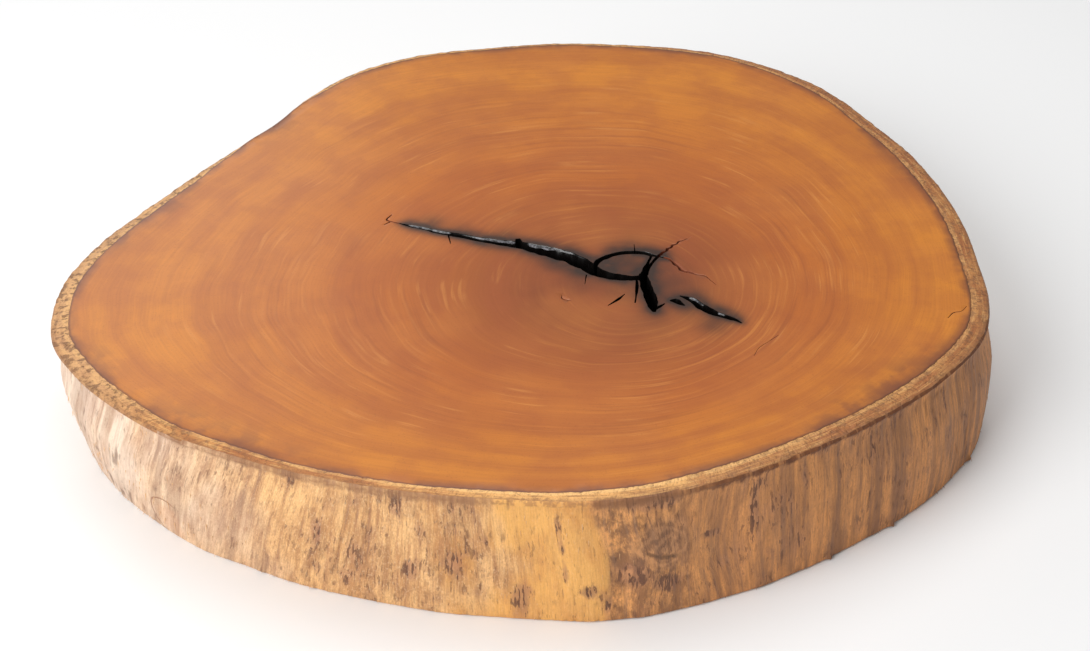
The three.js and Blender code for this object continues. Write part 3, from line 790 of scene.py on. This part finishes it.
def ring_map(places):
    """Where each place lies among the growth rings: a flat map on which the
    rings are round, with the pith at 0 and the rim at a distance of 1."""
    order = np.argsort(rim_bearing)
    turns = np.arange(-180, 180, 2.0)
    exact = np.interp(turns, rim_bearing[order], rim_radius[order], period=360)
    rounded = exact
    for _ in range(2):
        rounded = sum(np.roll(rounded, turn) for turn in range(-8, 9)) / 17

    def away_and_reach(share):
        kept = np.clip(share, 0, 1)
        away = places - np.column_stack([PITH[0] * (1 - kept), PITH[1] * (1 - kept**1.9)])
        bearing = np.degrees(np.arctan2(away[:, 1], away[:, 0]))
        near_rim = smooth(share, 0.75, 1)
        reach = np.interp(bearing, turns, rounded, period=360) * (1 - near_rim) \
            + np.interp(bearing, turns, exact, period=360) * near_rim
        return away, rim_radius.mean() + (reach - rim_radius.mean()) * kept**1.2

    inner, outer = np.zeros(len(places)), np.full(len(places), 1.5)
    for _ in range(30):
        middle = (inner + outer) / 2
        away, reach = away_and_reach(middle)
        beyond = np.linalg.norm(away, axis=1) > middle * reach
        inner, outer = np.where(beyond, middle, inner), np.where(beyond, outer, middle)
    away = away_and_reach(inner)[0]
    return away / np.maximum(np.linalg.norm(away, axis=1), 1e-6)[:, None] * inner[:, None]


# Dark stains inside the rim: x, y, reach, strength
STAINS = [
    (-419, -7, 20, 0.85), (-385, -218, 20, 0.8), (-284, -322, 24, 0.9), (-312, -292, 14, 0.6),
    (-222, -351, 22, 0.85), (282, -306, 22, 0.85), (346, -262, 27, 1), (384, -222, 15, 0.7),
    (408, 115, 18, 0.6), (389, 167, 20, 0.6), (-364, 36, 22, 0.7), (-270, 203, 20, 0.8),
    (-178, 313, 22, 0.6), (-40, 400, 14, 0.4), (35, 415, 14, 0.5), (180, 395, 20, 0.5),
]


def top_finish():
    """Heartwood under satin lacquer: long broken arcs along the growth rings
    on red to honey brown, dark stains inside the rim, and black overspray
    round the cracks. The rim is bare end grain."""
    f = Finish("lacquered_top")
    place = f.place()
    rings = f.put("ShaderNodeUVMap", {}, uv_map="rings")
    outwards = f.vector("NORMALIZE", rings)
    radius = f.length(rings)
    broad = f.cloud(place, scale=8, detail=3)
    warp = f.times(f.minus(f.cloud(place, scale=11, detail=1), 0.5), 0.036)
    wavy = f.plus(radius, warp)

    def arcs(length, spacing, seed, detail=1.0, roughness=0.5):
        """Noise drawn out along the rings, with sizes in millimetres."""
        across = f.put("ShaderNodeCombineXYZ", {"Z": f.times_plus(wavy, RING_REACH / spacing, seed)})
        along = f.vector("MULTIPLY_ADD", outwards, (0.4, 0.4, 0),
                         f.stretched(rings, (RING_REACH / length, RING_REACH / length, 0)))
        return f.cloud(f.vector("ADD", along, across), detail=detail, roughness=roughness)

    colour = f.blend(f.between(radius, 0.1, 0.52), (126, 63, 31), (183, 101, 36))
    colour = f.blend(f.between(radius, 0.42, 0.95), colour, (207, 128, 39))
    colour = f.blend(f.between(broad, 0.38, 0.66, 0.0, 0.45), colour, (192, 115, 50))
    colour = f.blend(f.between(f.cloud(place, scale=21, detail=4, roughness=0.6), 0.62, 0.36, 0.0, 0.3),
                     colour, (158, 82, 40))
    band = arcs(330, 30, 3.0, detail=2)
    colour = f.blend(f.between(band, 0.36, 0.6, 0.34, 0.0), colour, (156, 80, 38))
    shown = f.times(f.between(radius, 0.06, 0.3, 0.15, 1.0), f.between(radius, 0.95, 0.4, 0.25, 1.0))
    shown = f.times(shown, f.between(f.cloud(place, scale=6.5, detail=2), 0.38, 0.62, 0.2, 1.2))
    dark = f.times(f.between(arcs(260, 4.5, 11.0, detail=3), 0.48, 0.3), shown)
    colour = f.blend(f.times(dark, 0.28), colour, (132, 66, 33))
    light = f.times(f.between(arcs(300, 7.5, 23.0, detail=4, roughness=0.68), 0.56, 0.68),
                    f.between(arcs(130, 24, 31.0, detail=2), 0.42, 0.6, 0.06, 1.0))
    colour = f.blend(f.times(f.times(light, shown), 0.32), colour, (216, 140, 64))
    strokes = f.times(f.between(arcs(115, 5.6, 83.0, detail=2, roughness=0.6), 0.56, 0.7),
                      f.between(f.cloud(place, scale=15, detail=2), 0.44, 0.6))
    strokes = f.times(strokes, f.times(f.between(radius, 0.14, 0.34), f.between(radius, 0.95, 0.72)))
    colour = f.blend(f.times(strokes, 0.28), colour, (224, 152, 76))
    ripple = f.times_plus(wavy, 2 * math.pi * RING_REACH / 9.6, f.times(broad, 8.0))
    crest = f.number("POWER", f.times_plus(f.number("SINE", ripple), 0.5, 0.5), 7.0)
    crest = f.times(crest, f.between(arcs(210, 12, 47.0, detail=1.5), 0.46, 0.64))
    colour = f.blend(f.times(f.times(crest, shown), 0.2), colour, (216, 140, 66))
    threads = f.between(arcs(60, 1.6, 61.0, detail=3, roughness=0.6), 0.34, 0.66, 0.11, 0.0)
    colour = f.blend(threads, colour, (116, 56, 26))
    pores = f.between(f.cloud(f.stretched(place, (520, 520, 1)), detail=2), 0.58, 0.72, 0.0, 0.16)
    colour = f.blend(pores, colour, (96, 48, 24))

    torn = f.times(f.minus(f.cloud(place, scale=130, detail=4), 0.5), 3.2)
    depth = f.plus(f.carried("heart_depth"), torn)
    stain = f.times(f.carried("stain"), f.between(f.cloud(place, scale=45, detail=5), 0.38, 0.6, 0.25, 1.0))
    colour = f.blend(f.times(stain, 0.9), colour, (112, 64, 45))
    edge_stain = f.times(f.between(depth, 13.0, 2.0),
                         f.between(f.cloud(place, scale=26, detail=4), 0.38, 0.58, 0.15, 0.75))
    colour = f.blend(edge_stain, colour, (122, 69, 42))
    line = f.between(depth, 3.2, 0.4)
    colour = f.blend(f.times(line, 0.7), colour, (92, 54, 38))

    soot = f.times(f.carried("soot"), f.between(f.cloud(place, scale=55, detail=3), 0.25, 0.6, 0.8, 1.1))
    colour = f.blend(f.number("MINIMUM", soot, 0.93), colour, (42, 32, 27))

    grain_colour, grain_height = end_grain(f, rings)
    on_rim = f.between(depth, 0.5, -0.4)
    colour = f.blend(on_rim, colour, grain_colour)
    roughness = f.times_plus(on_rim, 0.3, 0.34)
    height = f.times(on_rim, grain_height)
    normal = f.relief(height, 0.0014, 0.9)
    normal = f.relief(f.cloud(place, scale=24, detail=2), 0.0004, 0.5, under=normal)
    return f.done(Base_Color=colour, Roughness=roughness, Normal=normal, Specular_IOR_Level=0.4,
                  Coat_Weight=0.12, Coat_Roughness=0.25)


def underside_finish():
    """Raw wood with saw marks, faint rings and a paler rim."""
    f = Finish("sawn_underside")
    place = f.place()
    rings = f.put("ShaderNodeUVMap", {}, uv_map="rings")
    radius = f.length(rings)
    warp = f.times(f.minus(f.cloud(place, scale=16, detail=2), 0.5), 0.05)
    ripple = f.number("SINE", f.times(f.plus(radius, warp), 2 * math.pi * RING_REACH / 11))
    blotch = f.cloud(place, scale=12, detail=4)
    marks = f.cloud(f.stretched(place, (14, 420, 1)), detail=3, roughness=0.6)
    colour = f.blend(f.between(blotch, 0.35, 0.65), (168, 124, 83), (188, 145, 100))
    colour = f.blend(f.between(ripple, 0.2, 1.0, 0.0, 0.35), colour, (140, 92, 56))
    colour = f.blend(f.between(radius, 0.94, 0.955), colour, (206, 170, 120))
    colour = f.blend(f.between(marks, 0.4, 0.7, 0.0, 0.3), colour, (112, 78, 50))
    return f.done(Base_Color=colour, Roughness=0.8, Normal=f.relief(marks, 0.0015, 0.8))


def filled_face(loop, step, fine_step, mirrored):
    """Flat triangles inside a loop of points, finer round the cracks."""
    def grid(gap):
        rows = np.arange(-460, 460, gap * 0.866)
        return np.array([(x + (number % 2) * gap / 2, y) for number, y in enumerate(rows)
                         for x in np.arange(-470, 470, gap)])
    coarse, fine = grid(step), grid(fine_step)
    coarse = coarse[crack_distance(coarse) > NEAR_CRACKS]
    fine = fine[crack_distance(fine) <= NEAR_CRACKS]
    inner = np.concatenate([coarse, fine])
    bearing = np.degrees(np.arctan2(inner[:, 1], inner[:, 0]))
    loop_bearing = np.degrees(np.arctan2(loop[:, 1], loop[:, 0]))
    order = np.argsort(loop_bearing)
    reach = np.interp(bearing, loop_bearing[order], np.linalg.norm(loop, axis=1)[order], period=360)
    inner = inner[np.linalg.norm(inner, axis=1) < reach - step * 0.7]
    points = [Vector(point) for point in np.concatenate([loop, inner])]
    edges = [(spot, (spot + 1) % len(loop)) for spot in range(len(loop))]
    verts, _, faces = delaunay_2d_cdt(points, edges, [], 1, 1e-6)[:3]
    assert len(verts) == len(points)
    turned = []
    for a, b, c in faces:
        facing_up = (verts[b] - verts[a]).cross(verts[c] - verts[a]) > 0
        turned.append((a, b, c) if facing_up != mirrored else (a, c, b))
    return inner, turned


def band_faces(ring):
    """The faces between one ring of points and the next one up."""
    low, high = ring * COLUMNS, (ring + 1) * COLUMNS
    pairs = [(column, (column + 1) % COLUMNS) for column in range(COLUMNS)]
    return [(low + here, low + beside, high + beside, high + here) for here, beside in pairs]


def slab_mesh():
    """Wall, rim, top and underside as one closed skin, still without cracks."""
    rows = [row[0] for row in wall_rows] + rim_rows + [heart_edge]
    verts = np.concatenate(rows)
    faces, kinds = [], []
    for ring in range(len(rows) - 1):
        above = ring - len(wall_rows) + 1
        faces += band_faces(ring)
        kinds += [WALL if above < covered else TOP for covered in shoulder_rows]
    for loop, start, height, mirrored, step, fine in (
            (heart_edge, (len(rows) - 1) * COLUMNS, THICKNESS, False, TOP_STEP, TOP_STEP_AT_CRACKS),
            (rows[0], 0, 0, True, UNDERSIDE_STEP, UNDERSIDE_STEP / 2)):
        inner, triangles = filled_face(loop[:, :2], step, fine, mirrored)
        base = len(verts) - COLUMNS
        verts = np.concatenate([verts, np.column_stack([inner, np.full(len(inner), height)])])
        for triangle in triangles:
            faces.append(tuple(start + v if v < COLUMNS else base + v for v in triangle))
            kinds.append(UNDERSIDE if mirrored else TOP)
    return verts, faces, kinds


def make_object(name, verts, faces, kinds=None):
    mesh = bpy.data.meshes.new(name)
    mesh.from_pydata((verts * MM).tolist(), [], faces)
    if kinds is not None:
        mesh.polygons.foreach_set("material_index", kinds)
    made = bpy.data.objects.new(name, mesh)
    bpy.context.scene.collection.objects.link(made)
    return made


def face_outwards(piece):
    """Points the faces of a closed mesh outwards."""
    shape = bmesh.new()
    shape.from_mesh(piece.data)
    bmesh.ops.triangulate(shape, faces=shape.faces[:])
    bmesh.ops.recalc_face_normals(shape, faces=shape.faces[:])
    shape.to_mesh(piece.data)
    shape.free()


SURFACES = (top_finish(), peeled_wall, underside_finish(), crack_finish(), split_finish(), painted_glint_finish())
slice_verts, slice_faces, slice_kinds = slab_mesh()
wood = make_object("wood_slice_grown", slice_verts, slice_faces, slice_kinds)
for surface in SURFACES:
    wood.data.materials.append(surface)


def carry(mesh, name, values):
    """Stores one value, or one vector, for each point of the mesh."""
    size = 1 if values.ndim == 1 else values.shape[1]
    kind, field = {1: ("FLOAT", "value"), 3: ("FLOAT_VECTOR", "vector"), 4: ("FLOAT_COLOR", "color")}[size]
    held = mesh.attributes.new(name, kind, "POINT")
    held.data.foreach_set(field, values.astype(np.float32).ravel())


def wall_zone(row_fibres):
    """How pale, golden, knotty and brown the wall is, by bearing. The pale left and brown right are partly
    painted light and shade.
    """
    uneven = 7 * unevenness(row_fibres, (28, 28, 60), 60) + 3 * unevenness(row_fibres, (9, 9, 22), 61)
    bearing = rim_bearing + uneven
    pale = size_at((1, -150, 34), bearing)
    edge = rim_bearing + 0.14 * uneven + (row_fibres[:, 2] - 70).clip(0) * 0.022
    golden = smooth(bearing, -101, -92) * smooth(edge, -79.7, -80.7)
    knotty = smooth(edge, -80.9, -79.9) * smooth(bearing, -60, -68)
    brown = smooth(bearing, -78, -64) * smooth(bearing, 20, -12)
    return np.column_stack([pale, golden, knotty, np.ones(COLUMNS)]), brown


def fill(values):
    """Values for the rows of the wall, repeated up the rim, and 0 for all other points."""
    rows = np.concatenate(values + values[-1:] * len(rim_rows))
    return np.concatenate([rows, np.zeros((len(slice_verts) - len(rows), *rows.shape[1:]))])


zones = [wall_zone(row[1]) for row in wall_rows]
heights = [row[0][:, 2] for row in wall_rows]
for name, values in {
        "fibre": [row[1] * MM for row in wall_rows],
        "scrap": [row[2] for row in wall_rows],
        "pit": [row[3] for row in wall_rows],
        "wall_tints": [tints for tints, _ in zones],
        "wall_brown_and_shade": [brown for _, brown in zones],
        "smudge": [smudged(height) for height in heights],
        "wall_place": [np.column_stack([along_rim, height, 0 * along_rim]) * MM for height in heights],
}.items():
    carry(wood.data, name, fill(values))

face_outwards(wood)
for number, (verts, faces, kinds) in enumerate(cutters):
    cutter = make_object(f"crack_{number}", verts, faces, kinds)
    for surface in SURFACES:
        cutter.data.materials.append(surface)
    face_outwards(cutter)
    cut = wood.modifiers.new("cut", "BOOLEAN")
    cut.operation = "DIFFERENCE"
    cut.solver = "MANIFOLD"
    cut.object = cutter
    bpy.context.view_layer.update()
    carved = bpy.data.meshes.new_from_object(wood.evaluated_get(bpy.context.evaluated_depsgraph_get()))
    wood.modifiers.remove(cut)
    wood.data = carved
    bpy.data.objects.remove(cutter)


def places_of(mesh):
    """The points of a mesh, in millimetres."""
    flat = np.zeros(len(mesh.vertices) * 3)
    mesh.vertices.foreach_get("co", flat)
    return flat.reshape(-1, 3) / MM


# Broader passes of the spray: x, y, reach, strength
SPRAY_DABS = [
    (95, -66, 15, 0.6), (84, -66, 12, 0.4), (108, -64, 13, 0.5), (136, -88, 16, 0.3),
    (134, -108, 15, 0.3), (140, -72, 13, 0.3), (108, -34, 15, 0.5), (90, -38, 13, 0.4),
    (128, -40, 12, 0.3), (179, -173, 16, 0.55), (156, -150, 12, 0.3), (-95, 12, 14, 0.5),
    (-65, 2, 12, 0.3), (-20, -12, 13, 0.35), (30, -70, 14, 0.45), (52, -82, 13, 0.4),
    (150, -100, 16, 0.35), (95, -112, 20, 0.25), (60, -104, 20, 0.22), (125, -165, 20, 0.2),
    (190, -148, 12, 0.35), (165, -118, 12, 0.35), (104, -105, 11, 0.3), (128, -150, 9, 0.3),
]


def sprayed(places):
    """Black overspray on the top: soft overlapping dabs along the cracks and
    some broader passes beside them."""
    bare = np.ones(len(places))
    draw = np.random.default_rng(5)
    for crack in SPRAYED:
        for x, y, width, _ in crack_line(crack, 5.0):
            x, y = x + draw.normal(0, 1.5), y + draw.normal(1, 1.5)
            reach = width / 2 + draw.uniform(4, 9)
            strength = draw.uniform(0.42, 0.7) * min(1, width / 2.6)
            away = np.hypot(places[:, 0] - x, places[:, 1] - y)
            bare *= 1 - strength * np.exp(-(away / reach) ** 2)
    bare *= 1 - 0.5 * np.exp(-(crack_distance(places).clip(0) / 3.2) ** 2)
    for x, y, reach, strength in SPRAY_DABS:
        bare *= 1 - strength * np.exp(-(np.hypot(places[:, 0] - x, places[:, 1] - y) / reach) ** 2)
    return 1 - bare


def stained(places, depth):
    """Dark stains that reach in from the rim."""
    clean = np.ones(len(places))
    for x, y, reach, strength in STAINS:
        away = np.hypot(places[:, 0] - x, places[:, 1] - y) / (1.7 * reach)
        clean *= 1 - strength * np.exp(-away**2 - (np.maximum(depth, 0) / reach) ** 2)
    return 1 - clean


slice_mesh = wood.data
slice_places = places_of(slice_mesh)
rim_tree = KDTree(COLUMNS)
for column, (x, y) in enumerate(rim_place):
    rim_tree.insert((x, y, 0), column)
rim_tree.balance()
heart_depth = np.full(len(slice_places), float(FAR_FROM_RIM))
rim_share = np.zeros(len(slice_places))
for spot, (x, y, z) in enumerate(slice_places):
    if z > THICKNESS - RIM_DROP - EDGE_ROUND - 1:
        _, column, away = rim_tree.find((x, y, 0))
        heart_depth[spot] = min(FAR_FROM_RIM, away - rim_widths[column])
        rim_share[spot] = min(3, away / rim_widths[column])
bearings = np.degrees(np.arctan2(slice_places[:, 1], slice_places[:, 0]))
carry(slice_mesh, "heart_depth", heart_depth)
carry(slice_mesh, "rim_share", rim_share)
carry(slice_mesh, "rim_paleness", read_off(RIM_PALENESS, bearings))
carry(slice_mesh, "rim_torn", read_off(RIM_TORN, bearings))
carry(slice_mesh, "rim_fading", read_off(RIM_FADING, bearings))
carry(slice_mesh, "stain", stained(slice_places, heart_depth))
carry(slice_mesh, "soot", sprayed(slice_places) * (slice_places[:, 2] > THICKNESS - 8))
ring_places = ring_map(slice_places[:, :2])
ring_layer = slice_mesh.uv_layers.new(name="rings")
corners = np.zeros(len(slice_mesh.loops), int)
slice_mesh.loops.foreach_get("vertex_index", corners)
ring_layer.data.foreach_set("uv", ring_places[corners].astype(np.float32).ravel())

shifted = slice_places.copy()
shifted[:, :2] += SLICE_SHIFT
slice_mesh.vertices.foreach_set("co", (shifted * MM).ravel())
slice_mesh.shade_smooth()
slice_mesh.set_sharp_from_angle(angle=math.radians(SHARP_ANGLE))
slice_mesh.update()
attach(wood, "root")
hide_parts("wood_slice")

# Torn fibres of the wall
# Slivers that lifted when the bark was pulled off. On the wall they lie along
# the grain, half sunk in, and on the lower edge they stand out like a fringe.
SLIVER_LENGTH = 6.5
SLIVER_THICKNESS = 0.42
SLIVER_LIFT = 0.14
SLIVER_SUNK = 0.25
SLIVERS_ON_WALL = 3400  # on each square metre
FRINGE_LENGTH = 2.4
FRINGE_THICKNESS = 0.34
FRINGE_LIFT = 1.5
FRINGE_ON_FOOT = 40000


def sliver_finish():
    """Pale torn wood on the left, browner on the right, like the wall behind it: partly its own tint,
    partly painted light and shade.
    """
    f = Finish("torn_fibre")
    place = f.place()
    across = f.parts(place)[0]
    tone = f.cloud(place, scale=90, detail=3)
    pale = f.blend(tone, (196, 144, 96), (244, 206, 156))
    brown = f.blend(tone, (122, 84, 58), (196, 140, 92))
    return f.done(Base_Color=f.blend(f.between(across, 0.03, 0.12), pale, brown), Roughness=0.75)


def sliver_tree(finish):
    """Scatters slivers over a surface, pointing down and a little outwards."""
    tree = bpy.data.node_groups.new("torn_fibres", "GeometryNodeTree")
    inputs = {"Wall": "Geometry", "Density": "Float", "Length": "Float", "Thickness": "Float",
              "Lift": "Float", "Seed": "Int"}
    for name, kind in inputs.items():
        tree.interface.new_socket(name, in_out="INPUT", socket_type="NodeSocket" + kind)
    tree.interface.new_socket("Slivers", in_out="OUTPUT", socket_type="NodeSocketGeometry")

    def put(kind, inputs, **settings):
        return put_node(tree, kind, inputs, **settings)

    given = tree.nodes.new("NodeGroupInput").outputs
    points = put("GeometryNodeDistributePointsOnFaces", {"Mesh": given["Wall"], "Density": given["Density"],
                                                         "Seed": given["Seed"]})
    outwards = points.node.outputs["Normal"]
    sideways = put("FunctionNodeRandomValue",
                   {"Min": (-0.13, -0.13, -0.1), "Max": (0.13, 0.13, 0.1), "Seed": 3},
                   data_type="FLOAT_VECTOR")
    down = put("ShaderNodeVectorMath", {0: sideways, 1: (0, 0, -1)}, operation="ADD")
    aim = put("ShaderNodeVectorMath", {0: outwards, 1: given["Lift"], 2: down}, operation="MULTIPLY_ADD")
    sunk = put("ShaderNodeVectorMath", {0: outwards, "Scale": -SLIVER_SUNK * MM}, operation="SCALE")
    points = put("GeometryNodeSetPosition", {"Geometry": points, "Offset": sunk})
    sliver = put("GeometryNodeMeshCone",
                 {"Vertices": 4, "Radius Top": 0.0, "Radius Bottom": given["Thickness"],
                  "Depth": given["Length"]}, fill_type="NGON")
    turned = put("FunctionNodeAlignRotationToVector", {"Vector": aim}, axis="Z")
    grown = put("FunctionNodeRandomValue", {"Min": (0.6, 0.6, 0.35), "Max": (1.3, 1.3, 1.5), "Seed": 4},
                data_type="FLOAT_VECTOR")
    copies = put("GeometryNodeInstanceOnPoints", {"Points": points, "Instance": sliver, "Rotation": turned,
                                                  "Scale": grown})
    real = put("GeometryNodeRealizeInstances", {"Geometry": copies})
    coloured = put("GeometryNodeSetMaterial", {"Geometry": real, "Material": finish})
    tree.links.new(coloured, tree.nodes.new("NodeGroupOutput").inputs["Slivers"])
    return tree


def wall_band(name, low, high):
    """The part of the grown wall between two heights, as a surface to scatter on."""
    rows = [row[0] for row in wall_rows if low <= row[0][0, 2] <= high]
    verts = np.concatenate(rows) + (*SLICE_SHIFT, 0)
    return make_object(name, verts, sum((band_faces(ring) for ring in range(len(rows) - 1)), []))


def scattered(name, low, high, tree, seed, **sizes):
    """One piece of slivers, grown from the band of the wall between two heights."""
    piece = wall_band(name, low, high)
    scatter = piece.modifiers.new("scatter", "NODES")
    scatter.node_group = tree
    sockets = {item.name: item.identifier for item in tree.interface.items_tree if item.in_out == "INPUT"}
    scatter[sockets["Seed"]] = seed
    for size, value in sizes.items():
        scatter[sockets[size]] = float(value)
    bpy.context.view_layer.update()
    grown = bpy.data.meshes.new_from_object(piece.evaluated_get(bpy.context.evaluated_depsgraph_get()))
    piece.modifiers.remove(scatter)
    piece.data = grown
    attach(piece, "root")
    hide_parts("wood_slice")


slivers = sliver_tree(sliver_finish())
scattered("torn_fibres", 14, THICKNESS - 12, slivers, 5, Density=SLIVERS_ON_WALL, Length=SLIVER_LENGTH * MM,
          Thickness=SLIVER_THICKNESS * MM, Lift=SLIVER_LIFT)
scattered("frayed_foot", 2, 6, slivers, 6, Density=FRINGE_ON_FOOT, Length=FRINGE_LENGTH * MM,
          Thickness=FRINGE_THICKNESS * MM, Lift=FRINGE_LIFT)

# Floor, light and camera
# A white sheet under white daylight from all round, with a large soft lamp high
# on the left and weaker ones above, behind and low on the left. The camera
# looks down at 35 degrees.
CAMERA_PLACE = (0.01464, -1.5826, 1.126)
CAMERA_PITCH = 35
CAMERA_LENS = 60
CAMERA_SENSOR = 36
FLOOR_REACH = 6
DAYLIGHT = 0.31


def floor_sheet():
    mesh = bpy.data.meshes.new("floor")
    corners = [(x * FLOOR_REACH, y * FLOOR_REACH, 0) for x, y in ((-1, -1), (1, -1), (1, 1), (-1, 1))]
    mesh.from_pydata(corners, [], [(0, 1, 2, 3)])
    floor = bpy.data.objects.new("floor", mesh)
    bpy.context.scene.collection.objects.link(floor)
    f = Finish("white_floor")
    mesh.materials.append(f.done(Base_Color=(0.86, 0.86, 0.86, 1), Roughness=0.9))


def soft_lamp(name, place, aim, size, power):
    light = bpy.data.lights.new(name, "AREA")
    light.shape = "DISK"
    light.size = size
    light.energy = power
    lamp = bpy.data.objects.new(name, light)
    lamp.location = place
    lamp.rotation_euler = (Vector(aim) - Vector(place)).to_track_quat("-Z", "Y").to_euler()
    bpy.context.scene.collection.objects.link(lamp)


def camera():
    lens = bpy.data.cameras.new("camera")
    lens.lens = CAMERA_LENS
    lens.sensor_width = CAMERA_SENSOR
    eye = bpy.data.objects.new("camera", lens)
    eye.location = CAMERA_PLACE
    eye.rotation_euler = (math.radians(90 - CAMERA_PITCH), 0, 0)
    bpy.context.scene.collection.objects.link(eye)
    bpy.context.scene.camera = eye


floor_sheet()
soft_lamp("key_lamp", (-2.7, -2.5, 2.6), (0, 0, 0.1), 3.2, 176)
soft_lamp("top_lamp", (0.1, 0.7, 3.3), (0, 0, 0.1), 2.8, 50)
soft_lamp("back_lamp", (-1.7, 3.3, 2.1), (0, 0, 0.1), 2.4, 19)
soft_lamp("side_lamp", (-2.4, -2.3, 0.9), (0, 0, 0.07), 1.6, 5)
camera()
daylight = bpy.data.worlds.new("daylight")
daylight.use_nodes = True
daylight.node_tree.nodes["Background"].inputs["Color"].default_value = (1, 1, 1, 1)
daylight.node_tree.nodes["Background"].inputs["Strength"].default_value = DAYLIGHT
bpy.context.scene.world = daylight
bpy.context.scene.view_settings.view_transform = "Standard"
